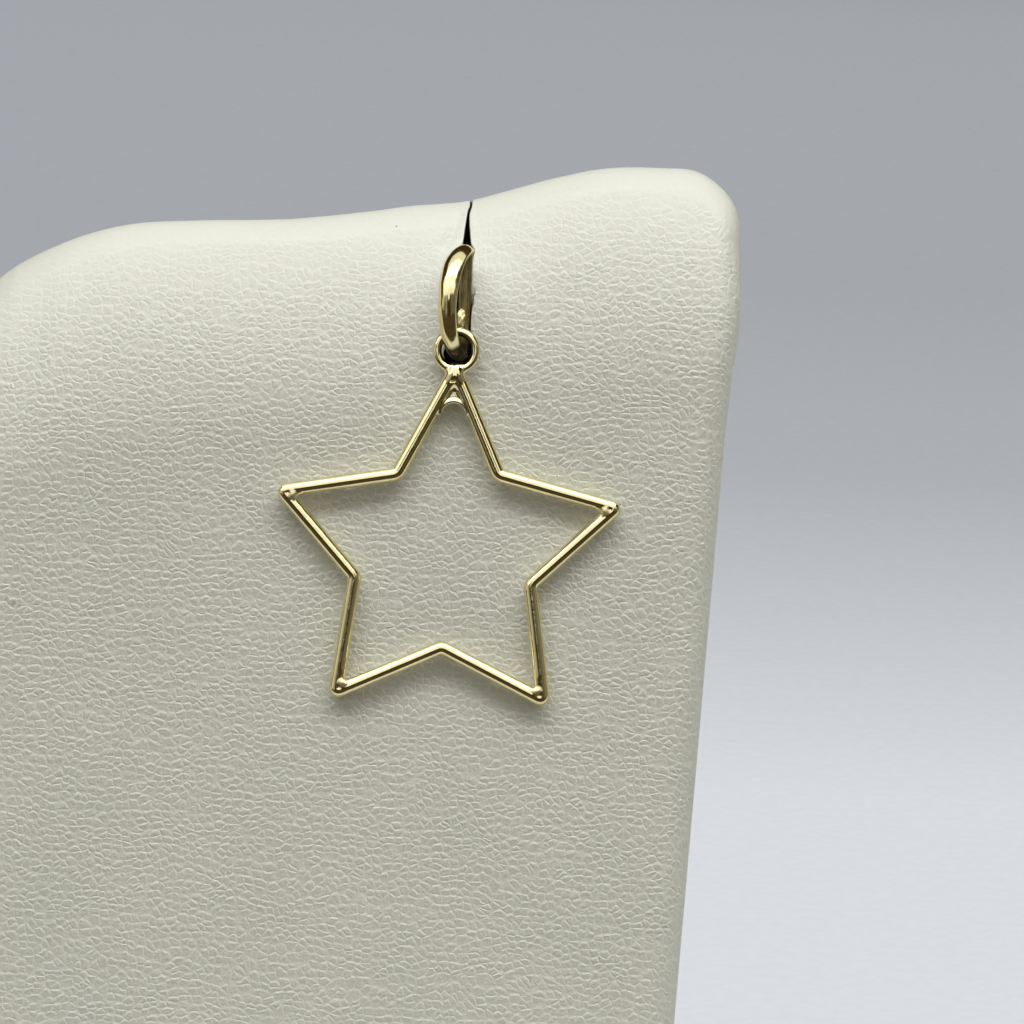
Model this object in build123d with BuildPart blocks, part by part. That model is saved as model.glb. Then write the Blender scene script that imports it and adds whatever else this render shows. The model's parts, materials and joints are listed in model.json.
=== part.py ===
from build123d import *
from math import cos, radians, sin, sqrt
import os

# Gold star pendant hung on a padded display stand. Millimetres, +Z up. The display's face looks towards -Y,
# +X is to its right, and the origin is the middle of the flat base that it rests on.
#
# Sizes along the display's face are given in the face's own frame: x to the right and y up the face, both
# from the star's centre, and z outwards from the leatherette.

# Star outline of round gold wire
star_radius = 10.19          # star's centre to the wire's centre line at a tip
notch_ratio = 0.533          # inner corners' radius as a share of star_radius
wire_d = 0.82
apex_height = 10.65          # the top point is drawn up to the jump ring that is soldered to it
apex_shift = 0.10            # and leans a little to the right
shoulder_half = 2.91         # inner corners beside the top point, half the distance between them
shoulder_height = 4.58
star_gap = 0.34              # air between the wire and the leatherette

# Solder web that fills the inside of the top point
web_thickness = 0.62
web_drop = 1.92              # apex to the crown of the arch below the web
arch_radius = 0.58

# Jump ring soldered upright on the top point
ring_d = 2.78
ring_wire_d = 0.53

# Bail: a domed, hollow-backed band bent into an upright loop, bowed in front and flat behind
bail_height = 6.9
bail_bow = 3.05              # front of the bow, from the line between the loop's top and foot
bail_back_round = 0.70       # corners of the flat back, which lies as far behind that line
bail_thickness = 0.28
bail_dome = 0.28             # how far the band's crown stands out from its rims
bail_width_top = 1.38
bail_width_bottom = 0.96
bail_turn = 21               # degrees that the loop is turned from square to the face
bail_behind = 0.95           # the line from top to foot lies this far behind the ring's plane
bail_right = 0.32            # and this far to the right of the ring's middle
ring_above_bail = 1.78       # ring's top wire, centre, above the foot of the loop
bow_sections = 9

# Padded display
display_lean = 12            # degrees that the face leans back
display_width = 49.6
display_height = 75.4        # along the face, foot to the highest point of the top edge
base_depth = 30.0
top_depth = 12.0
right_reach = 16.55          # star's centre to the display's right side
star_below_peak = 23.02      # star's centre to the highest point of the top edge
crown_start = 8.0            # height above the star's centre where the face begins to curve back
crown_radius = 95.0
edge_round = 2.2             # padded edge round the face
back_round = 1.5

# Slit in the display's top edge, which grips the bail's back limb
slit_offset = 0.38
slit_width = 0.40
slit_width_at_edge = 0.16
slit_depth = 4.0
bail_clearance = 0.12
edge_tolerance = 0.1         # for telling the display's edges apart

# Corners of the display's outline from the right foot round to the left one. across is a share of
# display_width from the right side, down a share of display_height from the highest point, and round the
# corner's radius as a share of display_width.
outline_corners = [
    # across, down, round
    (0.058, 1.000, 0.000),
    (-0.002, 0.000, 0.076),
    (0.170, 0.001, 0.300),
    (0.330, 0.037, 0.200),
    (1.000, 0.080, 0.335),
    (0.952, 1.000, 0.000),
]

# Values worked out from the sizes above
lean = radians(display_lean)
turn = radians(bail_turn)
wire_r = wire_d / 2
ring_wire_r = ring_wire_d / 2
ring_line_r = (ring_d - ring_wire_d) / 2
foot = star_below_peak - display_height
middle_across = right_reach - display_width / 2
up_face = Vector(0, sin(lean), cos(lean))
out_of_face = Vector(0, -cos(lean), sin(lean))
face_origin = Vector(-middle_across, -base_depth / 2, 0) - up_face * foot
face = Plane(origin=face_origin, x_dir=(1, 0, 0), z_dir=out_of_face)
star_lift = star_gap + wire_r
star_plane = face.offset(star_lift)

ring_centre_height = apex_height + ring_line_r
ring_top_height = ring_centre_height + ring_line_r
loop_middle_height = ring_top_height - ring_above_bail + bail_height / 2
loop_lift = star_lift - bail_behind
# Across the bail's band to the right, and from the flat back of its loop towards the bow
across_band = Vector(1, 0, 0) * cos(turn) + out_of_face * sin(turn)
to_front = out_of_face * cos(turn) - Vector(1, 0, 0) * sin(turn)
loop_middle = face.from_local_coords(Vector(apex_shift + bail_right, loop_middle_height, loop_lift))
loop_plane = Plane(origin=loop_middle, x_dir=to_front, z_dir=-across_band)
rim_bow = bail_bow - bail_dome
rim_back_round = bail_back_round - bail_dome
rim_half_height = bail_height / 2 - bail_dome
back_half_height = rim_half_height - rim_back_round


def star_corners():
    """Centre line of the star's wire in its own plane, from the top point clockwise."""
    corners = [(apex_shift, apex_height), (shoulder_half, shoulder_height)]
    notch_radius = star_radius * notch_ratio
    for step in range(2, 9):
        angle = radians(90 - 36 * step)
        radius = notch_radius if step % 2 else star_radius
        corners.append((radius * cos(angle), radius * sin(angle)))
    corners.append((-shoulder_half, shoulder_height))
    return corners


def band_section(front, up, facing_front, facing_up, width):
    """Crescent section of the bail's band: a domed outside, a hollow back and two flat rims.

    It stands at a place of the loop's plane, and its dome faces the given way.
    """
    outwards = (to_front * facing_front + up_face * facing_up).normalized()
    origin = loop_middle + to_front * front + up_face * up
    half = width / 2
    with BuildSketch(Plane(origin=origin, x_dir=across_band, z_dir=across_band.cross(outwards))) as section:
        with BuildLine():
            ThreePointArc((-half, 0), (0, bail_dome), (half, 0))
            Line((half, 0), (half, -bail_thickness))
            ThreePointArc((half, -bail_thickness), (0, bail_dome - bail_thickness), (-half, -bail_thickness))
            Line((-half, -bail_thickness), (-half, 0))
        make_face()
    return section.sketch


def bow_section(angle):
    """Section of the bail's bow at an angle from its top, where the band is widest, down to its foot."""
    front, up = sin(radians(angle)), cos(radians(angle))
    width = bail_width_bottom + (bail_width_top - bail_width_bottom) * (up + 1) / 2
    return band_section(rim_bow * front, rim_half_height * up, front / rim_bow, up / rim_half_height, width)


def display_outline():
    """Outline of the display's face: a waved top edge, two sides that draw in, and a straight foot."""
    points = []
    for across, down, _ in outline_corners:
        points.append((right_reach - across * display_width, star_below_peak - down * display_height))
    rounds = [share * display_width for _, _, share in outline_corners]
    with BuildSketch(face.offset(edge_round)) as outline:
        with BuildLine():
            FilletPolyline(*points, radius=rounds, close=True)
        make_face()
    return outline.sketch


def crown_fall(height):
    """How far the crowned part of the face has curved back at a height above the star's centre."""
    rise = max(0, height - crown_start)
    return crown_radius - sqrt(crown_radius**2 - rise**2)


def side_point(height, depth):
    """Point of the side view, x to the back and y up, at a height along the face and a depth behind it."""
    along = height - foot
    back = along * sin(lean) + depth * cos(lean) - base_depth / 2
    return (back, along * cos(lean) - depth * sin(lean))


def back_top():
    """Upper corner of the display's back in the side view."""
    front_top = side_point(star_below_peak, crown_fall(star_below_peak))
    return (front_top[0] + top_depth, front_top[1])


def back_normal():
    """Direction that the display's back faces."""
    run = back_top()[0] - base_depth / 2
    rise = back_top()[1]
    return Vector(0, rise, -run).normalized()


def side_profile():
    """Side view of the display: crowned face, top, back and base."""
    front = -base_depth / 2
    start = side_point(crown_start, 0)
    middle_height = (crown_start + star_below_peak) / 2
    middle = side_point(middle_height, crown_fall(middle_height))
    end = side_point(star_below_peak, crown_fall(star_below_peak))
    with BuildSketch(Plane.YZ) as profile:
        with BuildLine():
            Line((front, 0), start)
            ThreePointArc(start, middle, end)
            Line(end, back_top())
            Line(back_top(), (base_depth / 2, 0))
            Line((base_depth / 2, 0), (front, 0))
        make_face()
    return profile.sketch


def padded_edges(edges):
    """Edges between the display's face and its top and sides."""
    chosen = []
    for edge in edges:
        ends = [face.to_local_coords(edge @ share) for share in (0, 0.5, 1)]
        near_face = min(end.Z for end in ends) > -edge_round
        across_crown = max(abs(end.Y - crown_start) for end in ends) < edge_tolerance
        along_foot = max(end.Y - foot for end in ends) < edge_tolerance
        if near_face and not across_crown and not along_foot:
            chosen.append(edge)
    return chosen


def back_edges(edges):
    """Edges between the display's back and its top and sides."""
    back_line = Plane(origin=(0, base_depth / 2, 0), x_dir=(1, 0, 0), z_dir=back_normal())
    chosen = []
    for edge in edges:
        ends = [back_line.to_local_coords(edge @ share) for share in (0, 0.5, 1)]
        on_back = max(abs(end.Z) for end in ends) < edge_tolerance
        along_foot = max((edge @ share).Z for share in (0, 1)) < edge_tolerance
        if on_back and not along_foot:
            chosen.append(edge)
    return chosen


def slit_outline():
    """The slit as a long narrow wedge, from the bail's middle to above the top edge."""
    wide = slit_width / 2
    narrow = slit_width_at_edge / 2
    return [
        (slit_offset - wide, loop_middle_height),
        (slit_offset + wide, loop_middle_height),
        (slit_offset + narrow, star_below_peak),
        (slit_offset - narrow, star_below_peak),
    ]


# Star, web and jump ring, soldered into one piece
corners = star_corners()
with BuildPart() as star_drop:
    for index, corner in enumerate(corners):
        following = corners[(index + 1) % len(corners)]
        start = star_plane.from_local_coords(Vector(*corner))
        end = star_plane.from_local_coords(Vector(*following))
        run = end - start
        with BuildSketch(Plane(origin=start, z_dir=run)):
            Circle(wire_r)
        extrude(amount=run.length)
        with Locations(start):
            Sphere(wire_r)
    arch_centre = apex_height - web_drop - arch_radius
    with BuildSketch(star_plane):
        with BuildLine():
            Polyline(corners[1], corners[0], corners[-1], close=True)
        make_face()
        with Locations((apex_shift, shoulder_height)):
            Rectangle(2 * shoulder_half, 2 * (arch_centre - shoulder_height), mode=Mode.SUBTRACT)
        with Locations((apex_shift, arch_centre)):
            Circle(arch_radius, mode=Mode.SUBTRACT)
    extrude(amount=web_thickness / 2, both=True)
    with Locations(star_plane.location * Location((apex_shift, ring_centre_height, 0))):
        Torus(ring_line_r, ring_wire_r)
star_drop.part.label = "star_drop"

# Bail: its bow, its flat back, and the two corners that join them
with BuildPart() as bail:
    loft([bow_section(180 * index / (bow_sections - 1)) for index in range(bow_sections)])
    back_top_section = band_section(-rim_back_round, back_half_height, -1, 0, bail_width_top)
    back_foot_section = band_section(-rim_back_round, -back_half_height, -1, 0, bail_width_bottom)
    loft([back_top_section, back_foot_section])
    for section, up, arc in ((back_top_section, back_half_height, -90), (back_foot_section, -back_half_height, 90)):
        revolve(section, axis=Axis(loop_middle + up_face * up, -across_band), revolution_arc=arc)
bail.part.label = "bail"

# Display, its face cut to the outline and its edges rounded as padding rounds them
with BuildPart() as display_pad:
    extrude(side_profile(), amount=display_width, both=True)
    extrude(display_outline(), amount=-2 * base_depth, mode=Mode.INTERSECT)
    fillet(padded_edges(display_pad.edges()), radius=edge_round)
    fillet(back_edges(display_pad.edges()), radius=back_round)
    # Pocket that the bail's back lies in, and the slit above it through the top edge
    pocket_round = bail_back_round + bail_clearance
    with BuildSketch(loop_plane):
        SlotOverall(bail_height + 2 * bail_clearance, 2 * pocket_round, rotation=90)
    extrude(amount=bail_width_top / 2 + bail_clearance, both=True, mode=Mode.SUBTRACT)
    with BuildSketch(face.offset(edge_round)):
        with BuildLine():
            Polyline(*slit_outline(), close=True)
        make_face()
    extrude(amount=-(edge_round + slit_depth), mode=Mode.SUBTRACT)
display_pad.part.label = "display_pad"

os.makedirs("parts", exist_ok=True)
for piece in (star_drop, bail, display_pad):
    export_step(piece.part, f"parts/{piece.part.label}.step")
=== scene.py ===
import json
import math

import bpy
import numpy as np
from mathutils import Matrix, Vector


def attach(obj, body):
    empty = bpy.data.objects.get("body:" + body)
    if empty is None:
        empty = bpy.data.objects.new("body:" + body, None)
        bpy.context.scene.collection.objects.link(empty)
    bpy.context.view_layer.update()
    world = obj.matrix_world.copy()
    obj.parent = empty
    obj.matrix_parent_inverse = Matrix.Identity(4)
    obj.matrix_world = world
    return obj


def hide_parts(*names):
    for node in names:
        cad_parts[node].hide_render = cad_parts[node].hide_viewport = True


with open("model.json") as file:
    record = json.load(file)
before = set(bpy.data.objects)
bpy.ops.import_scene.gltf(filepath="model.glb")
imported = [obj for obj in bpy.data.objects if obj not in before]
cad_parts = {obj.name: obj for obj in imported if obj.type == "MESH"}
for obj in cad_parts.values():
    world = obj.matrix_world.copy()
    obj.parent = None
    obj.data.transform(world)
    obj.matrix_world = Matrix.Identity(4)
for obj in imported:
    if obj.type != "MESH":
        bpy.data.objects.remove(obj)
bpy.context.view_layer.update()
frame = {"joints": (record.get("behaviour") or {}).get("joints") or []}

# Gold star pendant on a padded leatherette display. Shapes are worked out in millimetres in the face's own frame:
# u to the right and v up the face, both from the star's centre, and w outwards from the leatherette.

MM = 0.001

# Star: corners of the wire's centre line, from the top point clockwise
STAR_CORNERS = [
    # u, v, bend radius
    (0.10, 10.65, 0.00),
    (2.90, 4.64, 0.55),
    (9.83, 3.03, 0.20),
    (5.04, -1.66, 0.55),
    (6.10, -8.37, 0.20),
    (0.06, -5.54, 0.55),
    (-6.02, -8.43, 0.20),
    (-5.21, -1.64, 0.55),
    (-9.67, 3.15, 0.20),
    (-3.01, 4.43, 0.55),
]
WIRE_R = 0.41
STAR_LIFT = 0.75
APEX_U = 0.10
RING_V = 11.775
RING_LINE_R = 1.125
RING_WIRE_R = 0.265
HINGE_V = RING_V + RING_LINE_R
WEB_ARCH_V = 8.03
WEB_ARCH_R = 0.70
WEB_HALF = 0.18
WEB_EDGE_ROUND = 0.05
# Bead along the web's arch: how far above the arch and out from the middle its line runs, radius, and taper
ARCH_BEAD = (0.10, 0.13, 0.14)
ARCH_BEAD_TAPER = 0.45
# Solder at the free tips: how far in from the tip, out and how big its ball is, and the ridges up the wires
TIP_CORNERS = (2, 4, 6, 8)
TIP_BALL = (0.66, 0.17, 0.28)
RIDGE_START = 0.75
RIDGE_ENDS = (1.9, 1.1)
RIDGE_ASIDE = 0.22
RIDGE_OUT = 0.235
RIDGE_SINK = 0.10
RIDGE_R = 0.125
# How softly the star's parts run into each other
WEB_JOIN = 0.11
BEAD_JOIN = 0.10
RING_JOIN = 0.10
MOUND_JOIN = 0.22
NECK_JOIN = 0.16
BALL_JOIN = 0.14
RIDGE_JOIN = 0.10
DIMPLE_JOIN = 0.04
STAR_STEP = 0.062

# Bail: loop turned from the face, bowed in front and flat behind
BAIL_TURN = math.radians(21)
BAIL_U = 0.38
BAIL_V = 14.57
BAIL_W = -0.30
BAIL_HALF_HEIGHT = 3.19
BAIL_BOW = 2.74
BAIL_BACK = 0.30
BAIL_CORNER = 0.55
BAIL_DOME = 0.27
BAIL_WALL = 0.30
BAIL_WIDTH_TOP = 1.34
BAIL_WIDTH_FOOT = 1.02
BAIL_WIDTH_BACK = 0.74
BAND_SPOTS = 33
RIM_SPOTS = 9
# Hand-made waviness of the dome, and the shallow groove down its front: depth, place, half width, middle, half length
BAIL_WAVES = (0.012, 0.008)
BAIL_GROOVE = (0.020, 0.06, 0.10, 0.2, 1.6)
# Height on the loop below which the gold takes painted shade
PAINTED_SHADE_BELOW = -2.40
# Lump of solder inside the back limb: place across and up, half sizes, slope, and how many spots round and along
LUMP_PLACE = (-0.12, -0.70)
LUMP_HALVES = (0.31, 0.74, 0.26)
LUMP_SLOPE = 0.16
LUMP_ROUND = 40
LUMP_ALONG = 25

# Display: outline of its face, from the right foot round to the left one
LEAN = math.radians(12)
DISPLAY_WIDTH = 49.6
DISPLAY_HEIGHT = 75.4
DISPLAY_RIGHT = 16.55
DISPLAY_TOP = 23.02
BASE_DEPTH = 30.0
TOP_DEPTH = 9.0
CROWN_REACH = 13.0
CROWN_RADIUS = 26.0
CROWN_EDGE_U = 12.5
# Swelling of the padding round the slit: its middle (u, v), how wide and tall it is, and its height
SWELLING = (0.4, 14.4, 2.6, 2.9, 0.55)
EDGE_ROUND = 1.6
BACK_ROUND = 1.5
SLIT_ROUND = 0.08
POCKET_ROUND = 0.06
OUTLINE = [
    # across, down, round, as shares of the width, height and width
    (0.058, 1.000, 0.000),
    (-0.002, 0.000, 0.076),
    (0.170, 0.001, 0.300),
    (0.330, 0.037, 0.200),
    (1.000, 0.080, 0.335),
    (0.952, 1.000, 0.000),
]

# Slit in the display's top edge: how its middle and its half width go with the height
SLIT_PROFILE = [
    # v, middle, half width
    (10.55, 0.15, -0.10),
    (10.90, 0.15, 0.62),
    (11.60, 0.17, 0.84),
    (12.40, 0.25, 0.72),
    (13.10, 0.36, 0.50),
    (14.50, 0.38, 0.41),
    (17.20, 0.38, 0.41),
    (17.70, 0.42, 0.44),
    (18.05, 0.40, 0.24),
    (19.20, 0.38, 0.12),
    (19.77, 0.39, 0.070),
    (20.00, 0.42, 0.055),
    (20.36, 0.52, 0.035),
    (24.00, 0.60, 0.035),
]
SLIT_DEPTH = 4.0
BAIL_CLEARANCE = 0.05

# How far the padding swells past the straight outline, along its top edge and down its right side
TOP_SWELL = [
    # u, swell
    (-33.0, 0.50),
    (-26.1, 0.46),
    (-23.8, 0.32),
    (-19.3, 0.23),
    (-14.6, 0.12),
    (-12.3, 0.00),
    (-10.0, -0.06),
    (-7.6, 0.03),
    (-5.3, 0.17),
    (-3.0, 0.38),
    (-0.7, 0.42),
    (1.9, 0.37),
    (4.8, 0.33),
    (6.3, 0.24),
    (12.0, 0.23),
    (13.5, 0.26),
    (15.0, 0.12),
    (17.0, 0.00),
]
RIGHT_SWELL = [
    # v, swell
    (8.0, 0.00),
    (11.0, 0.08),
    (13.0, 0.24),
    (15.5, 0.30),
    (17.5, 0.05),
    (19.0, -0.15),
    (21.0, 0.00),
]
SPECKS = [
    # place (u, v), size, strength
    ((-3.79, 19.01), 0.085, 0.85),
    ((-25.45, -3.95), 0.13, 0.30),
    ((-25.05, -4.15), 0.15, 0.26),
    ((-24.70, -4.25), 0.11, 0.24),
]
# Crease beside the slit: its ends, half width and depth
LIP_CREASE = ((-0.85, 17.90), (-0.06, 19.70), 0.30, 0.12)

# Camera: looks squarely at the face, rolled a little
CAMERA_AIM = (3.78, 2.53)
CAMERA_DISTANCE = 0.5
CAMERA_ROLL = math.radians(2.69)
PICTURE_WIDTH = 0.05971
SENSOR_WIDTH = 36

# Stage: where its dark card ends before the display, the floor's painted light and shade towards the back, and the
# room's grey
FLAG_EDGE = -0.048
FLOOR_REACH = 0.8
FLOOR_TINT = (0.985, 0.995, 1.025)
FLOOR_LIGHT_AND_SHADE = [
    # distance behind the display in metres, tone
    (0.00, 0.725),
    (0.15, 0.795),
    (0.27, 0.556),
    (0.37, 0.558),
    (0.55, 0.735),
]
STAGE_MIDDLE = (0.0, 0.0, 0.055)
DAYLIGHT = (0.97, 0.985, 1.0)
TENT = (0.985, 0.99, 1.0)
WHITE = (1, 1, 1)
CARD_DISTANCE = 0.60
CARD_HEIGHT = 0.12
CARD_TALL = 0.40
SIDE_CARDS = [
    # name, azimuth from the view and half width as angles, radiance
    ("left_card", -66, 18, 0.56),
    ("left_card_inner", -37, 11, 0.32),
    ("right_card", 76, 15, 0.20),
    ("right_card_inner", 43, 18, 0.10),
]
ROOM_HALF = 5.9
ROOM_GREY = (0.40, 0.42, 0.445, 1)

RIGHT = np.array((1.0, 0.0, 0.0))
UP = np.array((0.0, math.sin(LEAN), math.cos(LEAN)))
OUT = np.array((0.0, -math.cos(LEAN), math.sin(LEAN)))
FACE = np.array((RIGHT, UP, OUT))
# The swing's axis passes through the top of the jump ring, which ties the face's frame to the row's
ORIGIN = np.array(frame["joints"][0]["pos_m"]) / MM - np.array((APEX_U, HINGE_V, STAR_LIFT)) @ FACE


def to_row(points):
    """Points of the face's frame, in millimetres, as points of the row frame, in metres."""
    return (ORIGIN + np.asarray(points, float) @ FACE) * MM


# ---- Implicit surfaces


def smooth_union(a, b, k):
    share = np.clip(0.5 + 0.5 * (b - a) / k, 0, 1)
    return b + (a - b) * share - k * share * (1 - share)


def smooth_cut(a, b, k):
    return -smooth_union(-a, b, k)


def rounded_both(a, b, radius):
    """Where both a and b are inside, with the edge between them rounded."""
    return (
        np.minimum(np.maximum(a + radius, b + radius), 0)
        + np.hypot(np.maximum(a + radius, 0), np.maximum(b + radius, 0))
        - radius
    )


def segment_distance(u, v, start, end):
    """Distance from points of a plane to a segment in it."""
    run = (end[0] - start[0], end[1] - start[1])
    length = run[0] ** 2 + run[1] ** 2
    share = np.clip(((u - start[0]) * run[0] + (v - start[1]) * run[1]) / length, 0, 1)
    return np.hypot(u - start[0] - share * run[0], v - start[1] - share * run[1])


def axis_points(start, end, step):
    return np.linspace(start, end, int(round((end - start) / step)) + 1)


def graded(stops):
    """Grid points along stops (place, step), each step used up to the next place."""
    parts = [axis_points(stops[i][0], stops[i + 1][0], stops[i][1])[:-1] for i in range(len(stops) - 1)]
    return np.concatenate(parts + [[stops[-1][0]]])


def gradient(distance, points, step=0.002):
    parts = []
    for axis in range(3):
        ahead, behind = points.copy(), points.copy()
        ahead[:, axis] += step
        behind[:, axis] -= step
        parts.append((distance(*ahead.T) - distance(*behind.T)) / (2 * step))
    return np.stack(parts, 1)


def surface_net(distance, axes):
    """Vertices, quads and normals of the surface where a distance is zero, on a grid of the given axes."""
    value = distance(*np.meshgrid(*axes, indexing="ij", sparse=True))
    value = np.broadcast_to(value, [len(a) for a in axes])
    cells = np.array(value.shape) - 1
    total, count, quads = np.zeros((cells.prod(), 3)), np.zeros(cells.prod()), []
    for axis in range(3):
        low, high = [slice(None)] * 3, [slice(None)] * 3
        low[axis], high[axis] = slice(None, -1), slice(1, None)
        start = np.argwhere((value[tuple(low)] < 0) != (value[tuple(high)] < 0))
        end = start.copy()
        end[:, axis] += 1
        a, b = value[tuple(start.T)], value[tuple(end.T)]
        place = np.stack([axes[i][start[:, i]] for i in range(3)], 1)
        place[:, axis] += a / (a - b) * (axes[axis][end[:, axis]] - axes[axis][start[:, axis]])
        side, other = [i for i in range(3) if i != axis]
        around = []
        for back_side, back_other in ((0, 0), (1, 0), (1, 1), (0, 1)):
            cell = start.copy()
            cell[:, side] -= back_side
            cell[:, other] -= back_other
            number = np.ravel_multi_index(cell.T, cells)
            np.add.at(total, number, place)
            np.add.at(count, number, 1)
            around.append(number)
        quads.append(np.stack(around, 1))
    quads = np.concatenate(quads)
    used, quads = np.unique(quads, return_inverse=True)
    quads = quads.reshape(-1, 4)
    points = total[used] / count[used, None]
    for _ in range(4):
        slope = gradient(distance, points)
        steep = (slope**2).sum(1)
        points -= (distance(*points.T) / np.maximum(steep, 0.2))[:, None] * slope
    normals = gradient(distance, points)
    normals /= np.linalg.norm(normals, axis=1)[:, None]
    diagonals = np.cross(points[quads[:, 2]] - points[quads[:, 0]], points[quads[:, 3]] - points[quads[:, 1]])
    wrong = (diagonals * normals[quads[:, 0]]).sum(1) < 0
    quads[wrong] = quads[wrong][:, ::-1]
    return points, quads, normals


def add_piece(name, points, faces, material, body, replaced, normals=None):
    """A mesh piece from points of the face's frame, riding on a body and standing for a CAD node."""
    mesh = bpy.data.meshes.new(name)
    mesh.from_pydata(to_row(points).tolist(), [], np.asarray(faces).tolist())
    mesh.polygons.foreach_set("use_smooth", [True] * len(mesh.polygons))
    if normals is not None:
        mesh.normals_split_custom_set_from_vertices((normals @ FACE).tolist())
    mesh.materials.append(material)
    piece = bpy.data.objects.new(name, mesh)
    bpy.context.scene.collection.objects.link(piece)
    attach(piece, body)
    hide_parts(replaced)
    return piece


def add_mask(piece, name, values):
    """A value for each vertex, which the piece's material reads by name."""
    attribute = piece.data.attributes.new(name, "FLOAT", "POINT")
    attribute.data.foreach_set("value", np.clip(values, 0, 1).astype(np.float32))


# ---- Star


def bent_line(corners):
    """Closed line through corners (u, v, bend radius), each bend in a few short runs."""
    line = []
    for index, (u, v, radius) in enumerate(corners):
        here = np.array((u, v))
        if radius == 0:
            line.append(here)
            continue
        before = np.array(corners[index - 1][:2]) - here
        after = np.array(corners[(index + 1) % len(corners)][:2]) - here
        before /= np.linalg.norm(before)
        after /= np.linalg.norm(after)
        half = math.acos(before @ after) / 2
        back = radius / math.tan(half)
        for share in np.linspace(0, 1, 7):
            line.append(here + (1 - share) ** 2 * back * before + share**2 * back * after)
    return line


star_line = bent_line(STAR_CORNERS)


def tip_solder():
    """Solder at the inside of the four free tips: balls (u, v, w, radius) and low ridges (start, end) up both wires."""
    balls, ridges = [], []
    inset, out, radius = TIP_BALL
    for index in TIP_CORNERS:
        tip = np.array(STAR_CORNERS[index][:2])
        inwards = -tip / np.linalg.norm(tip)
        balls.append((*(tip + inset * inwards), out, radius))
        for neighbour in (index - 1, index + 1):
            run = np.array(STAR_CORNERS[neighbour][:2]) - tip
            run /= np.linalg.norm(run)
            aside = inwards - (inwards @ run) * run
            aside /= np.linalg.norm(aside)
            # A long ridge up the steep wires, a short one along the others
            length = RIDGE_ENDS[0] if abs(run[1]) > 0.9 else RIDGE_ENDS[1]
            ridges.append((tip + RIDGE_START * run + RIDGE_ASIDE * aside, tip + length * run + RIDGE_ASIDE * aside))
    return balls, ridges


TIP_BALLS, TIP_RIDGES = tip_solder()
NECK_SOLDER = [
    # u, v, w, radius
    (-0.22, 10.55, 0.08, 0.19),
    (-0.29, 10.82, 0.08, 0.14),
    (0.35, 10.55, 0.08, 0.20),
    (0.42, 10.84, 0.08, 0.14),
]
# Mound of solder at the neck and the dash sunk in it: middle and half sizes
NECK_MOUND = ((0.07, 10.30, 0.05), (0.50, 0.66, 0.46))
DIMPLE = ((-0.02, 9.95, 0.47), (0.17, 0.045, 0.08))


def wire_distance(u, v, w):
    flat = segment_distance(u, v, star_line[-1], star_line[0])
    for start, end in zip(star_line, star_line[1:]):
        flat = np.minimum(flat, segment_distance(u, v, start, end))
    return np.hypot(flat, w) - WIRE_R


def web_distance(u, v, w):
    """Plate that fills the top point down to its arch, its edges rounded."""
    top_u, top_v, _ = STAR_CORNERS[0]
    sides = []
    for (low_u, low_v, _), way in ((STAR_CORNERS[1], -1), (STAR_CORNERS[-1], 1)):
        run = math.hypot(low_u - top_u, low_v - top_v)
        sides.append(way * ((u - top_u) * (low_v - top_v) - (v - top_v) * (low_u - top_u)) / run)
    wedge = np.maximum(*sides)
    arch = np.where(v > WEB_ARCH_V, np.hypot(u - APEX_U, v - WEB_ARCH_V), np.abs(u - APEX_U)) - WEB_ARCH_R
    outline = np.maximum(np.maximum(wedge, -arch), WEB_ARCH_V - v)
    plate = rounded_both(outline, np.abs(w) - WEB_HALF, WEB_EDGE_ROUND)
    # A bead follows the arch and thins out down its sides
    above, out, radius = ARCH_BEAD
    radius = radius * np.clip((v - WEB_ARCH_V) / ARCH_BEAD_TAPER, 0, 1) ** 0.5 - 0.02
    bead = np.maximum(np.maximum(np.hypot(arch - above, np.abs(w) - out) - radius, wedge), WEB_ARCH_V - v)
    return smooth_union(plate, bead, BEAD_JOIN)


def ball_distance(u, v, w, ball):
    return np.sqrt((u - ball[0]) ** 2 + (v - ball[1]) ** 2 + (w - ball[2]) ** 2) - ball[3]


def ridge_distance(u, v, w, start, end):
    """Low uneven ridge of solder, which sinks into the wire towards its end."""
    run = end - start
    share = np.clip(((u - start[0]) * run[0] + (v - start[1]) * run[1]) / (run @ run), 0, 1)
    aside = np.hypot(u - start[0] - share * run[0], v - start[1] - share * run[1])
    return np.hypot(aside, w - RIDGE_OUT + RIDGE_SINK * share**2) - RIDGE_R - 0.012 * np.sin(9 * v + 5 * u)


def egg_distance(u, v, w, place, halves):
    reach = sum(((a - b) / c) ** 2 for a, b, c in zip((u, v, w), place, halves))
    return (np.sqrt(reach) - 1) * min(halves)


def star_distance(u, v, w):
    body = smooth_union(wire_distance(u, v, w), web_distance(u, v, w), WEB_JOIN)
    ring = np.hypot(np.hypot(u - APEX_U, v - RING_V) - RING_LINE_R, w) - RING_WIRE_R
    body = smooth_union(body, ring, RING_JOIN)
    body = smooth_union(body, egg_distance(u, v, w, *NECK_MOUND), MOUND_JOIN)
    for ball in NECK_SOLDER:
        body = smooth_union(body, ball_distance(u, v, w, ball), NECK_JOIN)
    for ball in TIP_BALLS:
        body = smooth_union(body, ball_distance(u, v, w, ball), BALL_JOIN)
    for start, end in TIP_RIDGES:
        body = smooth_union(body, ridge_distance(u, v, w, start, end), RIDGE_JOIN)
    return smooth_cut(body, egg_distance(u, v, w, *DIMPLE), DIMPLE_JOIN)


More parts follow.
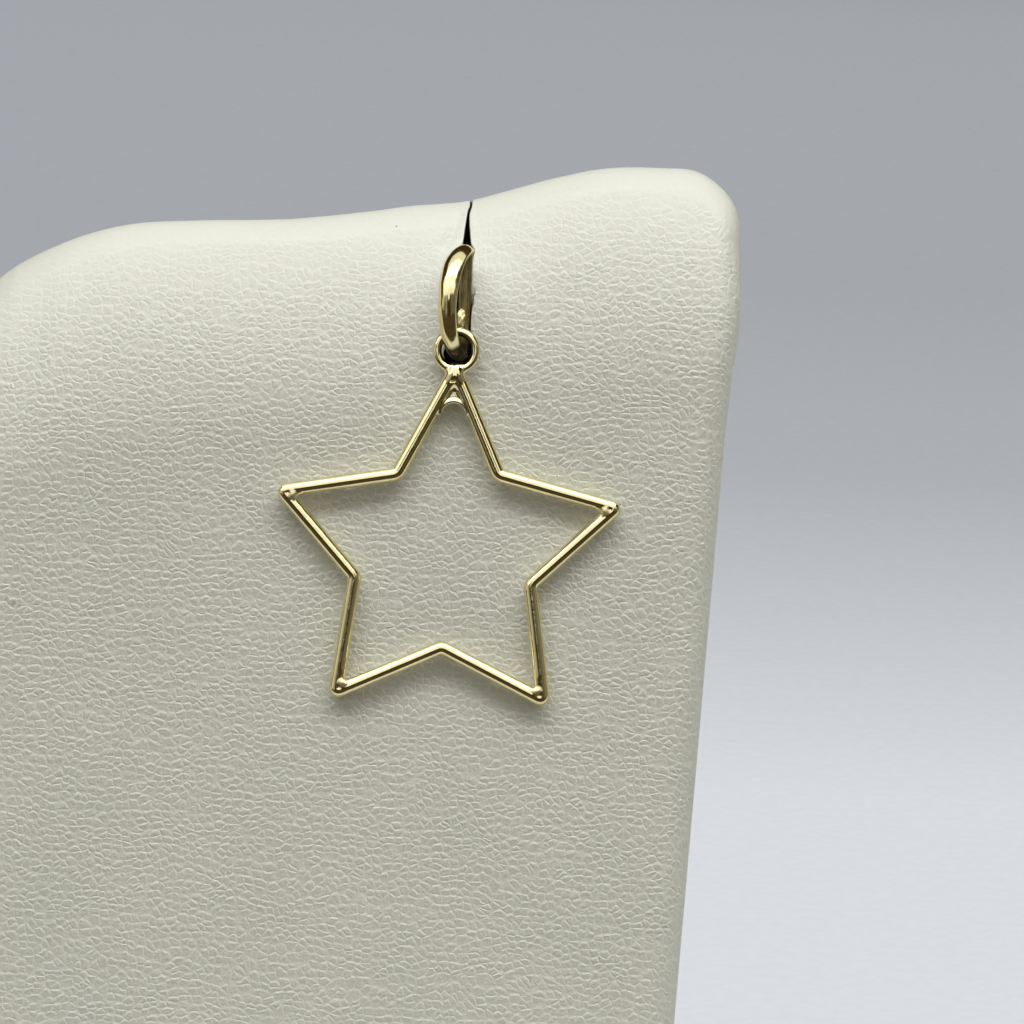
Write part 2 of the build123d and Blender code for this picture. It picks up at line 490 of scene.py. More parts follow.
def build_star(material):
    step = STAR_STEP
    us = graded([(-10.4, step), (-0.8, step / 2), (1.0, step), (10.4, 1)])
    vs = graded([(-9.1, step), (8.4, step / 2), (11.1, step), (13.4, 1)])
    axes = (us, vs, axis_points(-0.56, 0.60, step))
    points, quads, normals = surface_net(star_distance, axes)
    solder = np.zeros(len(points))
    for ball in TIP_BALLS:
        solder = np.maximum(solder, 1 - ball_distance(*points.T, ball) / 0.15)
    for start, end in TIP_RIDGES:
        solder = np.maximum(solder, 0.6 - ridge_distance(*points.T, start, end) / 0.15)
    points = points + (0, 0, STAR_LIFT)
    piece = add_piece("star", points, quads, material, "star", "star_drop", normals)
    add_mask(piece, "solder", solder)
    return piece


# ---- Bail


def loop_line(count):
    """Places (front, up) and facings (front, up) round the bail's loop, from its top by the bow."""
    angle = np.linspace(0, math.pi, count, endpoint=False)
    bow = np.stack((BAIL_BOW * np.sin(angle), BAIL_HALF_HEIGHT * np.cos(angle)), 1)
    straight = BAIL_HALF_HEIGHT - BAIL_CORNER
    turn = np.linspace(0, math.pi / 2, count // 5, endpoint=False)
    low = np.stack((-BAIL_BACK * np.sin(turn), -straight - BAIL_CORNER * np.cos(turn)), 1)
    limb_up = np.linspace(-straight, straight, count // 2, endpoint=False)
    limb = np.stack((np.full(len(limb_up), -BAIL_BACK), limb_up), 1)
    high = np.stack((-BAIL_BACK * np.cos(turn), straight + BAIL_CORNER * np.sin(turn)), 1)
    places = np.concatenate((bow, low, limb, high))
    run = np.roll(places, -1, 0) - np.roll(places, 1, 0)
    facing = np.stack((-run[:, 1], run[:, 0]), 1)
    facing /= np.linalg.norm(facing, axis=1)[:, None]
    return places, facing


def band_outline(width, dome):
    """Section of the band as points (across, out): a crescent with round rims."""
    wall = BAIL_WALL / 2
    reach = width / 2 - wall
    across = np.linspace(-1, 1, BAND_SPOTS)
    rise = dome * (1 - across**2)
    lean = -2 * dome * across / reach
    length = np.hypot(1, lean)
    outer = np.stack((reach * across - wall * lean / length, rise - wall + wall / length), 1)
    inner = np.stack((reach * across + wall * lean / length, rise - wall - wall / length), 1)[::-1]
    caps = []
    for end, first, last in ((-1, 0, -math.pi), (0, math.pi, 0)):
        turn = math.atan2(1, -lean[end]) + np.linspace(first, last, RIM_SPOTS)[1:-1]
        middle = (reach * across[end], rise[end] - wall)
        caps.append(np.stack((middle[0] + wall * np.cos(turn), middle[1] + wall * np.sin(turn)), 1))
    right, left = caps
    return np.concatenate((outer, right, inner, left))


def solder_lump(place, sides):
    """Uneven flat lump of solder, half sunk in the inside of the bail's back."""
    along = np.linspace(-math.pi / 2, math.pi / 2, LUMP_ALONG)
    turn, rise = np.meshgrid(np.arange(LUMP_ROUND) * 2 * math.pi / LUMP_ROUND, along, indexing="ij")
    x, y, z = np.cos(rise) * np.cos(turn), np.sin(rise), np.cos(rise) * np.sin(turn)
    uneven = 1 + 0.10 * np.sin(5 * y + 4 * x) * np.cos(4 * z - 3 * y) + 0.06 * np.sin(11 * y - 7 * x + 2)
    wide, tall, thick = LUMP_HALVES
    shape = np.stack((wide * x, tall * y, thick * z - LUMP_SLOPE * y), -1) * uneven[..., None]
    points = (np.asarray(place) + shape @ np.array(sides)).reshape(-1, 3)
    ring, spot = np.meshgrid(np.arange(LUMP_ROUND), np.arange(LUMP_ALONG - 1), indexing="ij")
    here, beside = ring * LUMP_ALONG + spot, (ring + 1) % LUMP_ROUND * LUMP_ALONG + spot
    return points, np.stack((here, here + 1, beside + 1, beside), -1).reshape(-1, 4)


def build_bail(material):
    places, facing = loop_line(200)
    out = np.array((-math.sin(BAIL_TURN), 0, math.cos(BAIL_TURN)))
    across = np.array((math.cos(BAIL_TURN), 0, math.sin(BAIL_TURN)))
    up = np.array((0.0, 1.0, 0.0))
    small, smaller = BAIL_WAVES
    groove, groove_across, groove_half, groove_up, groove_reach = BAIL_GROOVE
    rows, inner, painted_shade = [], [], []
    for (front, height), (face_front, face_up) in zip(places, facing):
        rise = (height / BAIL_HALF_HEIGHT + 1) / 2
        bow_width = BAIL_WIDTH_FOOT + (BAIL_WIDTH_TOP - BAIL_WIDTH_FOOT) * rise
        behind = np.clip(0.5 - front / 0.5, 0, 1)
        width = bow_width + (BAIL_WIDTH_BACK - bow_width) * behind
        dome = BAIL_DOME * (1 - 0.92 * behind)
        section = band_outline(width, dome)
        outwards = out * face_front + up * face_up
        middle = np.array((BAIL_U, BAIL_V, BAIL_W)) + out * front + up * height
        side = section[:, 0]
        wave = small * np.sin(2.1 * height + 3.0 * side) + smaller * np.sin(4.3 * height - 5.0 * side + 1.0)
        fade = math.exp(-(((height - groove_up) / groove_reach) ** 4)) * (1 - behind)
        wave -= groove * np.exp(-(((side - groove_across) / groove_half) ** 2)) * fade
        rows.append(middle + np.outer(side, across) + np.outer(section[:, 1] + wave, outwards))
        inside = section[:, 1] < dome * (1 - (2 * side / width) ** 2) - BAIL_WALL / 2
        # The loop is darker and rougher inside; painted shade darkens its lower bend, a little higher on the inside
        inner.append(np.where(inside, 1.0, 0.0))
        painted_shade.append(np.clip((PAINTED_SHADE_BELOW - height + 0.2 * inside) / 0.2, 0, 1) * np.ones(len(section)))
    rows, inner, painted_shade = np.array(rows), np.array(inner), np.array(painted_shade)
    count, size = rows.shape[:2]
    ring, spot = np.meshgrid(np.arange(count), np.arange(size), indexing="ij")
    following, beside = (ring + 1) % count, (spot + 1) % size
    faces = np.stack((ring * size + spot, following * size + spot, following * size + beside, ring * size + beside), -1)
    lump_place = (BAIL_U, BAIL_V, BAIL_W) + out * (BAIL_WALL / 2 - BAIL_BACK)
    lump_place = lump_place + across * LUMP_PLACE[0] + up * LUMP_PLACE[1]
    lump, lump_faces = solder_lump(lump_place, (across, up, out))
    points = np.concatenate((rows.reshape(-1, 3), lump))
    faces = np.concatenate((faces.reshape(-1, 4), lump_faces + rows.shape[0] * rows.shape[1]))
    piece = add_piece("bail_band", points, faces, material, "display", "bail")
    on_lump, on_band = np.ones(len(lump)), np.zeros(rows.shape[0] * rows.shape[1])
    add_mask(piece, "solder", np.concatenate((on_band, on_lump)))
    add_mask(piece, "inner", np.concatenate((inner.reshape(-1), 0 * on_lump)))
    add_mask(piece, "painted_shade", np.concatenate((painted_shade.reshape(-1), 0 * on_lump)))
    return piece


# ---- Display


def rounded_outline():
    """The face's outline as lines (start, end) and arcs (centre, radius, start, end), with its corners rounded."""
    corners = [
        np.array((DISPLAY_RIGHT - across * DISPLAY_WIDTH, DISPLAY_TOP - down * DISPLAY_HEIGHT))
        for across, down, _ in OUTLINE
    ]
    ends, arcs = [], []
    for index, corner in enumerate(corners):
        radius = OUTLINE[index][2] * DISPLAY_WIDTH
        if radius == 0:
            ends.append((corner, corner))
            continue
        before = corners[index - 1] - corner
        after = corners[(index + 1) % len(corners)] - corner
        before /= np.linalg.norm(before)
        after /= np.linalg.norm(after)
        half = math.acos(before @ after) / 2
        start, end = corner + before * radius / math.tan(half), corner + after * radius / math.tan(half)
        middle = (before + after) / np.linalg.norm(before + after)
        arcs.append((corner + middle * radius / math.sin(half), radius, start, end))
        ends.append((start, end))
    lines = [(ends[index][1], ends[(index + 1) % len(ends)][0]) for index in range(len(ends))]
    return lines, arcs


outline_lines, outline_arcs = rounded_outline()


def outline_distance(u, v):
    """Signed distance to the face's outline, which runs counter-clockwise: negative inside it."""
    nearest = np.full(np.broadcast(u, v).shape, 1e9)
    signed = nearest.copy()
    for start, end in outline_lines:
        run = end - start
        length = np.linalg.norm(run)
        away = segment_distance(u, v, start, end)
        outside = ((u - start[0]) * run[1] - (v - start[1]) * run[0]) / length
        closer = away < nearest - 1e-9
        signed = np.where(closer, np.where(outside > 0, away, -away), signed)
        nearest = np.where(closer, away, nearest)
    for centre, radius, start, end in outline_arcs:
        reach = np.hypot(u - centre[0], v - centre[1])
        away = np.abs(reach - radius)
        turn = (start - centre)[0] * (end - centre)[1] - (start - centre)[1] * (end - centre)[0]
        way = 1 if turn > 0 else -1
        after_start = way * ((start - centre)[0] * (v - centre[1]) - (start - centre)[1] * (u - centre[0])) > 0
        before_end = way * ((u - centre[0]) * (end - centre)[1] - (v - centre[1]) * (end - centre)[0]) > 0
        closer = after_start & before_end & (away < nearest)
        signed = np.where(closer, way * (reach - radius), signed)
        nearest = np.where(closer, away, nearest)
    return signed


FOOT_V = DISPLAY_TOP - DISPLAY_HEIGHT


def top_edge():
    """Points of the outline's top edge from left to right, level beyond the peak."""
    sides = [np.array(end) for line in outline_lines[1:4] for end in line]
    for centre, radius, start, end in outline_arcs:
        first = math.atan2(*(start - centre)[::-1])
        turn = (math.atan2(*(end - centre)[::-1]) - first + math.pi) % (2 * math.pi) - math.pi
        for angle in first + np.linspace(0, 1, 9) * turn:
            sides.append(centre + radius * np.array((math.cos(angle), math.sin(angle))))
    left = DISPLAY_RIGHT - DISPLAY_WIDTH + 2
    edge = np.array([side for side in sides if left < side[0] < CROWN_EDGE_U and side[1] > 0])
    return edge[np.argsort(edge[:, 0])]


TOP_EDGE = top_edge()


def crown_fall(u, v):
    """How far the padded face lies behind its plane: it rolls back towards its top edge."""
    rise = np.maximum(CROWN_REACH - (np.interp(u, TOP_EDGE[:, 0], TOP_EDGE[:, 1]) - v), 0)
    middle_u, middle_v, wide, tall, swelling = SWELLING
    swell = swelling * np.exp(-(((u - middle_u) / wide) ** 2) - ((v - middle_v) / tall) ** 2)
    start, end, crease_half, crease_depth = LIP_CREASE
    crease = crease_depth * np.exp(-((segment_distance(u, v, start, end) / crease_half) ** 2))
    return rise**2 / (2 * CROWN_RADIUS) - swell + crease


def edge_swell(u, v):
    """How far the padded edge swells past the outline."""
    top, right = np.array(TOP_SWELL), np.array(RIGHT_SWELL)
    above = np.interp(u, top[:, 0], top[:, 1]) * np.clip((v - 8) / 4, 0, 1)
    beside = np.interp(v, right[:, 0], right[:, 1]) * np.clip((u - 13) / 2, 0, 1)
    return above + beside


def row_height(v, w):
    """Height above the table, in millimetres."""
    return (v - FOOT_V) * math.cos(LEAN) + w * math.sin(LEAN)


def row_back(v, w):
    """How far back a point lies from the middle of the base, in millimetres."""
    return (v - FOOT_V) * math.sin(LEAN) - w * math.cos(LEAN) - BASE_DEPTH / 2


top_fall = crown_fall(DISPLAY_RIGHT, DISPLAY_TOP)
back_top = (row_back(DISPLAY_TOP, -top_fall) + TOP_DEPTH, row_height(DISPLAY_TOP, -top_fall))
back_run = np.array((back_top[1], BASE_DEPTH / 2 - back_top[0]))
back_run /= np.linalg.norm(back_run)


def slit_distance(u, v, w):
    """The slit that the bail's back lies in."""
    table = np.array(SLIT_PROFILE)
    middle = np.interp(v, table[:, 0], table[:, 1])
    half = np.interp(v, table[:, 0], table[:, 2])
    side = np.abs(u - middle) - half
    return np.maximum(side, -SLIT_DEPTH - w - crown_fall(u, v))


def pocket_distance(u, v, w):
    """Room for the bail's back, behind the leatherette's lips."""
    front = -math.sin(BAIL_TURN) * (u - BAIL_U) + math.cos(BAIL_TURN) * (w - BAIL_W)
    across = math.cos(BAIL_TURN) * (u - BAIL_U) + math.sin(BAIL_TURN) * (w - BAIL_W)
    side = np.abs(across) - BAIL_WIDTH_BACK / 2 - BAIL_CLEARANCE
    deep = np.abs(front) - BAIL_BACK - BAIL_DOME - BAIL_CLEARANCE
    tall = np.abs(v - BAIL_V) - BAIL_HALF_HEIGHT - BAIL_DOME - BAIL_CLEARANCE
    return np.maximum(np.maximum(side, deep), tall)


def pad_distance(u, v, w):
    outline = outline_distance(u, v) - edge_swell(u, v)
    front = w + crown_fall(u, v)
    back = (row_back(v, w) - back_top[0]) * back_run[0] + (row_height(v, w) - back_top[1]) * back_run[1]
    body = np.maximum(rounded_both(outline, front, EDGE_ROUND), rounded_both(outline, back, BACK_ROUND))
    body = smooth_cut(body, slit_distance(u, v, w), SLIT_ROUND)
    body = smooth_cut(body, pocket_distance(u, v, w), POCKET_ROUND)
    return np.maximum(body, -row_height(v, w))


def build_pad(material):
    coarse = 1
    left, right = DISPLAY_RIGHT - DISPLAY_WIDTH, DISPLAY_RIGHT
    # The grid is finest at the slit: places with the step from each on
    us = [(left - 1, 0.62 * coarse), (-1.5, 0.12), (-0.5, 0.08), (0.12, 0.032), (0.72, 0.08), (1.3, 0.16)]
    us += [(2.4, 0.55 * coarse), (right - 3.1, 0.3 * coarse), (right + 1, 1)]
    vs = [(FOOT_V - 1.3, 0.8 * coarse), (8.1, 0.5 * coarse), (10.6, 0.15), (18.4, 0.2), (20.2, 0.12)]
    vs += [(21.2, 0.2), (DISPLAY_TOP + 0.6, 1)]
    ws = [(-46.3, 1.1 * coarse), (-8.4, 0.38), (-4.6, 0.28), (-1.8, 0.17), (0.45, 1)]
    points, quads, normals = surface_net(pad_distance, (graded(us), graded(vs), graded(ws)))
    piece = add_piece("pad", points, quads, material, "display", "display_pad", normals)
    u, v, w = points.T
    # The inside of the slit is painted near black as painted shade, and the leatherette's lips keep their colour
    inside = np.clip((0.06 - np.minimum(slit_distance(u, v, w), pocket_distance(u, v, w))) / 0.04, 0, 1)
    add_mask(piece, "painted_slit_shade", inside * np.clip((-w - crown_fall(u, v) - 0.16) / 0.25, 0, 1))
    add_mask(piece, "roll", (CROWN_REACH - (np.interp(u, TOP_EDGE[:, 0], TOP_EDGE[:, 1]) - v)) / CROWN_REACH)
    add_mask(piece, "fall", crown_fall(u, v) / 8 + 0.1)
    return piece


# ---- Materials


class Shader:
    """A node material whose nodes are added with their inputs."""

    def __init__(self, name):
        self.material = bpy.data.materials.new(name)
        self.material.use_nodes = True
        self.tree = self.material.node_tree
        self.surface = self.tree.nodes["Principled BSDF"]

    def add(self, kind, inputs=None, output=0, **settings):
        node = self.tree.nodes.new("ShaderNode" + kind)
        for key, value in settings.items():
            setattr(node, key, value)
        for key, value in (inputs or {}).items():
            self.put(node, key, value)
        return node.outputs[output]

    def put(self, node, key, value):
        if isinstance(value, bpy.types.NodeSocket):
            self.tree.links.new(value, node.inputs[key])
        else:
            node.inputs[key].default_value = value

    def math(self, operation, a, b=0.0, c=0.0, clamp=False):
        return self.add("Math", {0: a, 1: b, 2: c}, operation=operation, use_clamp=clamp)

    def ramp(self, value, low, high, to_low=0.0, to_high=1.0, smooth=True):
        return self.add(
            "MapRange", {0: value, 1: low, 2: high, 3: to_low, 4: to_high},
            interpolation_type="SMOOTHSTEP" if smooth else "LINEAR",
        )

    def mix(self, share, a, b):
        return self.add("Mix", {0: share, 6: a, 7: b}, output=2, data_type="RGBA")

    def noise(self, vector, scale, detail=2.0, roughness=0.5, output=0):
        inputs = {"Vector": vector, "Scale": scale, "Detail": detail, "Roughness": roughness}
        return self.add("TexNoise", inputs, output=output)

    def bump(self, height, distance, strength=1.0, before=None):
        """Relief of a distance in millimetres, on top of the relief before it."""
        inputs = {"Strength": strength, "Distance": distance * MM, "Height": height}
        return self.add("Bump", inputs if before is None else {**inputs, "Normal": before})

    def voronoi(self, vector, feature, randomness=1.0):
        """Distance of flat cells, whose node has their middles too."""
        inputs = {"Vector": vector, "Scale": 1.0, "Randomness": randomness}
        return self.add("TexVoronoi", inputs, feature=feature, voronoi_dimensions="2D")


def gold(name, tint, deep, roughness, polish_lines):
    """Polished gold with faint wear, rougher on solder, darker and rougher inside the bail, and painted shade at the
    bail's lower bend.
    """
    shader = Shader(name)
    place = shader.add("TexCoord", output=3)
    place = shader.add("VectorMath", {0: place, 3: 1 / MM}, operation="SCALE")
    solder = shader.add("Attribute", attribute_name="solder", output=2)
    cloud = shader.noise(place, 0.9, 3.0)
    colour = shader.mix(shader.ramp(cloud, 0.3, 0.7), (*tint, 1), (*deep, 1))
    inner = shader.add("Attribute", attribute_name="inner", output=2)
    # A dark brown base colour over the inside of the bail, a little lighter in places
    inside_darkening = shader.math("MULTIPLY", inner, shader.ramp(cloud, 0.3, 0.6, 1.0, 0.85))
    colour = shader.mix(inside_darkening, colour, (0.135, 0.10, 0.035, 1))
    # Painted shade: the gold turns near black and rougher at the bail's lower bend
    painted_shade = shader.add("Attribute", attribute_name="painted_shade", output=2)
    colour = shader.mix(painted_shade, colour, (0.055, 0.045, 0.024, 1))
    shader.put(shader.surface, "Base Color", colour)
    shader.surface.inputs["Metallic"].default_value = 1.0
    wear = shader.noise(place, 5.0, 4.0, 0.6)
    rough = shader.ramp(wear, 0.35, 0.75, roughness, roughness + 0.06)
    rough = shader.math("MULTIPLY_ADD", solder, 0.24, rough)
    rough = shader.math("MULTIPLY_ADD", inner, 0.26, rough)
    rough = shader.math("MULTIPLY_ADD", painted_shade, 0.20, rough)
    shader.put(shader.surface, "Roughness", rough)
    dents = shader.noise(place, 1.6, 2.0)
    lines = shader.noise(shader.add("Mapping", {"Vector": place, "Scale": polish_lines}), 1.0, 2.0)
    grit = shader.noise(place, 4.5, 2.0, 0.6)
    bump = shader.bump(dents, 0.02, 0.35)
    bump = shader.bump(lines, 0.003, 0.15, bump)
    bump = shader.bump(grit, 0.06, shader.math("MULTIPLY", solder, 0.6), bump)
    shader.put(shader.surface, "Normal", bump)
    return shader.material


def leatherette():
    """Cream leatherette: small pebbles, each a little proud at its upper rim, between fine creases, with painted
    highlight along the creases, painted light over the top edge and painted shade inside the slit.
    """
    shader = Shader("leatherette")
    place = shader.add("TexCoord", output=3)
    place = shader.add(
        "Mapping",
        {"Vector": place, "Location": -FACE @ ORIGIN, "Rotation": (LEAN - math.pi / 2, 0, 0), "Scale": (1 / MM,) * 3},
    )
    fall = shader.add("Attribute", attribute_name="fall", output=2)
    lift = shader.add("CombineXYZ", {2: shader.math("MULTIPLY_ADD", fall, 8.0, -0.8)})
    flat = shader.add("VectorMath", {0: place, 1: lift}, operation="ADD")
    half = (0.5, 0.5, 0.5)
    # Warped coordinates, so that no crease is straight
    drift = shader.add("VectorMath", {0: shader.noise(flat, 0.30, 1.0, output=1), 1: half}, operation="SUBTRACT")
    wobble = shader.add("VectorMath", {0: shader.noise(flat, 2.4, 1.0, output=1), 1: half}, operation="SUBTRACT")
    bent = shader.add("VectorMath", {0: drift, 1: (1.2, 1.2, 0.0), 2: flat}, operation="MULTIPLY_ADD")
    bent = shader.add("VectorMath", {0: wobble, 1: (0.26, 0.26, 0.0), 2: bent}, operation="MULTIPLY_ADD")
    # The sides and the top take the same grain, drawn back at a slant
    behind = shader.add("SeparateXYZ", {0: flat}, output=2)
    slant = shader.add("VectorMath", {0: (-0.8, -0.6, 0.0), 3: behind}, operation="SCALE")
    bent = shader.add("VectorMath", {0: bent, 1: slant}, operation="ADD")
    cells = shader.add("VectorMath", {0: bent, 1: (1 / 0.53, 1 / 0.45, 0.0)}, operation="MULTIPLY")
    edge = shader.voronoi(cells, "DISTANCE_TO_EDGE", 0.80)
    middle = shader.voronoi(cells, "F1", 0.80)
    offset = shader.add("VectorMath", {0: cells, 1: middle.node.outputs["Position"]}, operation="SUBTRACT")
    above = shader.add("SeparateXYZ", {0: offset}, output=1)
    corner = shader.math("MULTIPLY", shader.math("SUBTRACT", 0.70, middle), 0.6)
    rim = shader.math("SMOOTH_MIN", edge, corner, 0.12)
    pebble = shader.ramp(rim, -0.02, 0.22)
    depth = shader.ramp(shader.noise(flat, 1.1, 1.0), 0.34, 0.60, 0.55, 1.0)
    across = shader.add("VectorMath", {0: bent, 1: (0.28, 0.95, 0.0)}, operation="MULTIPLY")
    long = shader.ramp(shader.voronoi(across, "DISTANCE_TO_EDGE"), 0.0, 0.08, 1.0, 0.0)
    long = shader.math("MULTIPLY", long, shader.ramp(shader.noise(flat, 0.5, 1.0), 0.52, 0.68))
    fine = shader.noise(place, 5.5, 3.0, 0.65)
    height = shader.math("MULTIPLY_ADD", above, 0.85, 0.62)
    height = shader.math("MULTIPLY", shader.math("MULTIPLY", height, pebble), depth)
    height = shader.math("MULTIPLY_ADD", long, -0.15, height)
    height = shader.math("MULTIPLY_ADD", fine, 1.2, height)
    # Painted highlight: the creases are painted paler, most on each pebble's upper side
    crease = shader.ramp(edge, -0.08, 0.36, 1.0, 0.0)
    crease = shader.math("MULTIPLY", crease, shader.ramp(above, -0.25, 0.25, 0.45, 1.0))
    crease = shader.math("MAXIMUM", shader.math("MULTIPLY", crease, depth), long)
    # The grain is pulled smooth where the leatherette rolls over the top edge
    roll = shader.add("Attribute", attribute_name="roll", output=2)
    relief = shader.ramp(roll, 0.45, 1.0, 1.0, 0.30)
    shader.put(shader.surface, "Normal", shader.bump(height, 0.046, relief))
    cloud = shader.ramp(shader.noise(flat, 0.12, 3.0), 0.3, 0.7)
    tone = shader.mix(cloud, (0.685, 0.680, 0.572, 1), (0.655, 0.652, 0.552, 1))
    # Painted light: the leatherette is painted paler towards and over the top edge, where more light falls
    tone = shader.mix(shader.ramp(roll, 0.0, 0.9), tone, (0.745, 0.741, 0.635, 1))
    # Painted highlight mixed into the tone along the creases
    pale = shader.math("MULTIPLY", shader.math("MULTIPLY", crease, relief), 0.36)
    tone = shader.mix(pale, tone, (0.90, 0.895, 0.80, 1))
    # Specks: one by the top edge, three pale smudges far to the left
    for (speck_u, speck_v), size, share in SPECKS:
        spot = (speck_u, speck_v, -float(crown_fall(speck_u, speck_v)))
        away = shader.add("VectorMath", {0: place, 1: spot}, operation="DISTANCE", output=1)
        stain = shader.ramp(shader.math("MULTIPLY_ADD", fine, 0.6 * size, away), 0.8 * size, 1.5 * size, share, 0.0)
        tone = shader.mix(stain, tone, (0.075, 0.06, 0.03, 1))
    # Painted shade: the inside of the slit is painted near black
    painted_slit_shade = shader.add("Attribute", attribute_name="painted_slit_shade", output=2)
    tone = shader.mix(painted_slit_shade, tone, (0.012, 0.010, 0.008, 1))
    shader.put(shader.surface, "Base Color", tone)
    shader.put(shader.surface, "Roughness", shader.ramp(fine, 0.3, 0.7, 0.36, 0.46))
    shader.surface.inputs["Specular IOR Level"].default_value = 0.5
    return shader.material


def dark_card():
    shader = Shader("dark_card")
    weave = shader.noise(shader.add("TexCoord", output=3), 400.0, 2.0)
    shader.put(shader.surface, "Base Color", shader.mix(weave, (0.05, 0.035, 0.015, 1), (0.06, 0.042, 0.018, 1)))
    shader.surface.inputs["Roughness"].default_value = 0.9
    shader.surface.inputs["Specular IOR Level"].default_value = 0.1
    return shader.material


def floor_paper():
    """White paper whose tone carries painted light and shade behind the display, and which far away glows the room's
    own grey.
    """
    shader = Shader("floor_paper")
    place = shader.add("TexCoord", output=3)
    back = shader.ramp(shader.add("SeparateXYZ", {0: place}, output=1), 0.0, FLOOR_REACH, smooth=False)
    tone = shader.add("ValToRGB", {0: back})
    elements = tone.node.color_ramp.elements
    # Painted light and shade: the floor's tone is painted lighter and darker with distance behind the display
    for index, (along, grey) in enumerate(FLOOR_LIGHT_AND_SHADE):
        stop = elements[0] if index == 0 else elements.new(along / FLOOR_REACH)
        stop.position = along / FLOOR_REACH
        stop.color = (*(grey * tint for tint in FLOOR_TINT), 1)
    elements.remove(elements[-1])
    fibre = shader.ramp(shader.noise(place, 900.0, 3.0), 0.3, 0.7, 0.985, 1.015)
    tone = shader.add("VectorMath", {0: tone, 3: fibre}, operation="SCALE")
    # Painted glow: far away the floor's colour fades to black and it glows the room's grey
    far = shader.ramp(shader.add("VectorMath", {0: place}, output=1, operation="LENGTH"), 0.50, 1.15)
    shader.put(shader.surface, "Base Color", shader.mix(far, tone, (0, 0, 0, 1)))
    shader.surface.inputs["Roughness"].default_value = 0.85
    shader.surface.inputs["Specular IOR Level"].default_value = 0.2
    shader.surface.inputs["Emission Color"].default_value = ROOM_GREY
    shader.put(shader.surface, "Emission Strength", far)
    return shader.material


def room_wall():
    """Even pale grey that only shows beyond the floor."""
    shader = Shader("room_wall")
    shader.surface.inputs["Base Color"].default_value = (0, 0, 0, 1)
    shader.surface.inputs["Specular IOR Level"].default_value = 0.0
    shader.surface.inputs["Emission Color"].default_value = ROOM_GREY
    shader.surface.inputs["Emission Strength"].default_value = 1.0
    return shader.material


# ---- Stage


def add_stage(name, points, faces, material, camera=True, light=True):
    """A piece of the stage that the camera sees, or that the light bounced between things sees, or both."""
    mesh = bpy.data.meshes.new(name)
    mesh.from_pydata(points, [], faces)
    mesh.materials.append(material)
    piece = bpy.data.objects.new(name, mesh)
    bpy.context.scene.collection.objects.link(piece)
    piece.visible_camera = camera
    piece.visible_diffuse = piece.visible_glossy = light
    piece.visible_shadow = False
    return piece


def sheet(x, y_front, y_back, z):
    """Corners of a level sheet."""
    return [(-x, y_front, z), (x, y_front, z), (x, y_back, z), (-x, y_back, z)]


def build_stage():
    """Paper floor and room for the camera. Gold and leatherette see the near floor, and a dark card at its front."""
    paper, sheet_face = floor_paper(), [(0, 1, 2, 3)]
    add_stage("floor", sheet(ROOM_HALF + 0.1, -ROOM_HALF - 0.1, ROOM_HALF + 0.1, 0.0), sheet_face, paper, light=False)
    add_stage("near_floor", sheet(0.60, FLAG_EDGE, 0.62, -0.0004), sheet_face, paper, camera=False)
    add_stage("front_flag", sheet(0.60, -0.55, FLAG_EDGE, -0.004), sheet_face, dark_card(), camera=False)
    corners = sheet(ROOM_HALF, -ROOM_HALF, ROOM_HALF, -0.1) + sheet(ROOM_HALF, -ROOM_HALF, ROOM_HALF, ROOM_HALF)
    walls = [(0, 1, 5, 4), (1, 2, 6, 5), (2, 3, 7, 6), (3, 0, 4, 7), (4, 5, 6, 7)]
    add_stage("room", corners, walls, room_wall(), light=False)


def softbox(name, place, size, radiance, colour=WHITE, seen_by="all", aim=STAGE_MIDDLE):
    """A soft rectangular light of the given radiance, which no camera sees and gloss or diffuse surfaces may."""
    light = bpy.data.lights.new(name, "AREA")
    light.shape = "RECTANGLE"
    light.size, light.size_y = size
    light.energy = radiance * math.pi * size[0] * size[1]
    light.color = colour
    lamp = bpy.data.objects.new(name, light)
    bpy.context.scene.collection.objects.link(lamp)
    lamp.location = place
    lamp.rotation_mode = "QUATERNION"
    lamp.rotation_quaternion = (Vector(aim) - Vector(place)).to_track_quat("-Z", "Y")
    lamp.visible_camera = False
    lamp.visible_diffuse = seen_by != "gloss"
    lamp.visible_glossy = seen_by != "diffuse"


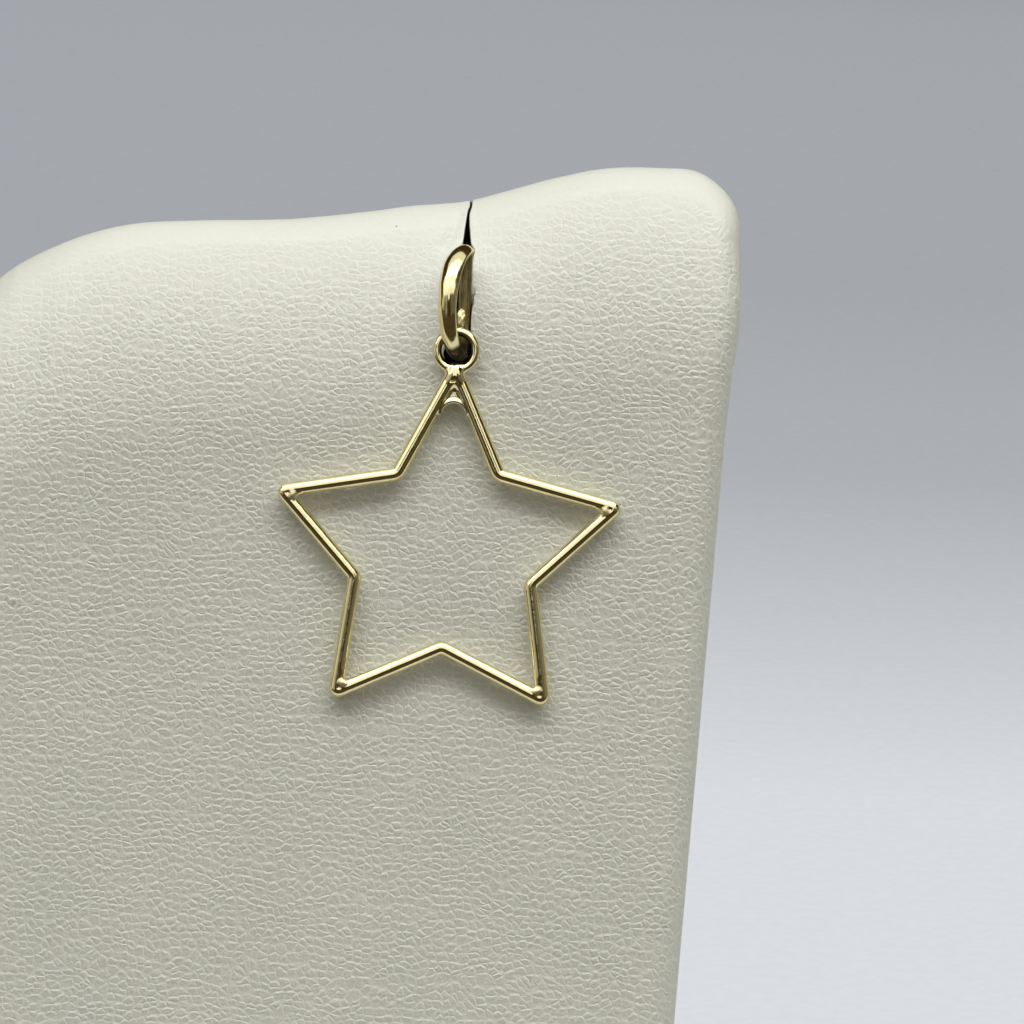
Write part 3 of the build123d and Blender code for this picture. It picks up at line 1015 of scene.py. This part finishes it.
def build_lights():
    softbox("lamp", (0.0, -0.225, 0.61), (0.9, 0.17), 5.9, DAYLIGHT)
    softbox("ceiling", (0.0, -0.04, 0.66), (1.1, 0.70), 0.9, DAYLIGHT)
    softbox("tent_front", (0.0, -0.52, 0.461), (1.4, 0.257), 1.10, TENT, "gloss")
    softbox("window", (0.0, -0.62, 0.281), (0.36, 0.165), 1.10, TENT, "gloss")
    softbox("tent_left", (-0.519, -0.21, 0.405), (0.46, 0.27), 1.05, TENT, "gloss")
    softbox("tent_top", (0.0, -0.24, 0.68), (1.1, 0.60), 1.10, TENT, "gloss")
    softbox("fill", (0.0, -0.53, 0.40), (1.4, 0.36), 0.56, DAYLIGHT, "diffuse")
    softbox("floor_light", (0.0, 0.42, 0.50), (1.6, 0.5), 0.60, (0.72, 0.84, 1.0), "diffuse", (0.0, 0.40, 0.0))
    softbox("right_fill", (0.55, -0.14, 0.22), (0.40, 0.40), 0.55, DAYLIGHT, "diffuse")
    for name, azimuth, half_angle, radiance in SIDE_CARDS:
        turn = math.radians(azimuth)
        place = (CARD_DISTANCE * math.sin(turn), -CARD_DISTANCE * math.cos(turn), CARD_HEIGHT)
        width = 2 * CARD_DISTANCE * math.tan(math.radians(half_angle))
        softbox(name, place, (width, CARD_TALL), radiance, seen_by="gloss")


def build_camera():
    camera_data = bpy.data.cameras.new("camera")
    camera = bpy.data.objects.new("camera", camera_data)
    bpy.context.scene.collection.objects.link(camera)
    camera_data.sensor_width = SENSOR_WIDTH
    camera_data.lens = SENSOR_WIDTH * CAMERA_DISTANCE / PICTURE_WIDTH
    camera_data.clip_start, camera_data.clip_end = 0.01, 20
    aim = to_row((*CAMERA_AIM, STAR_LIFT))
    across = math.cos(CAMERA_ROLL) * RIGHT + math.sin(CAMERA_ROLL) * UP
    upwards = math.cos(CAMERA_ROLL) * UP - math.sin(CAMERA_ROLL) * RIGHT
    turn = Matrix((across, upwards, OUT)).transposed()
    camera.matrix_world = Matrix.Translation(Vector(aim + OUT * CAMERA_DISTANCE)) @ turn.to_4x4()
    bpy.context.scene.camera = camera
    return camera


def build_world(colour, strength):
    world = bpy.data.worlds.new("room")
    world.use_nodes = True
    background = world.node_tree.nodes["Background"]
    background.inputs["Color"].default_value = (*colour, 1)
    background.inputs["Strength"].default_value = strength
    bpy.context.scene.world = world


build_camera()
build_star(gold("star_gold", (0.87, 0.785, 0.465), (0.83, 0.73, 0.40), 0.09, (0.6, 0.6, 30.0)))
build_bail(gold("bail_gold", (0.87, 0.78, 0.44), (0.81, 0.70, 0.36), 0.11, (30.0, 0.7, 0.7)))
build_pad(leatherette())
build_stage()
build_world((1.0, 0.70, 0.15), 0.042)
build_lights()
bpy.context.scene.view_settings.view_transform = "Standard"
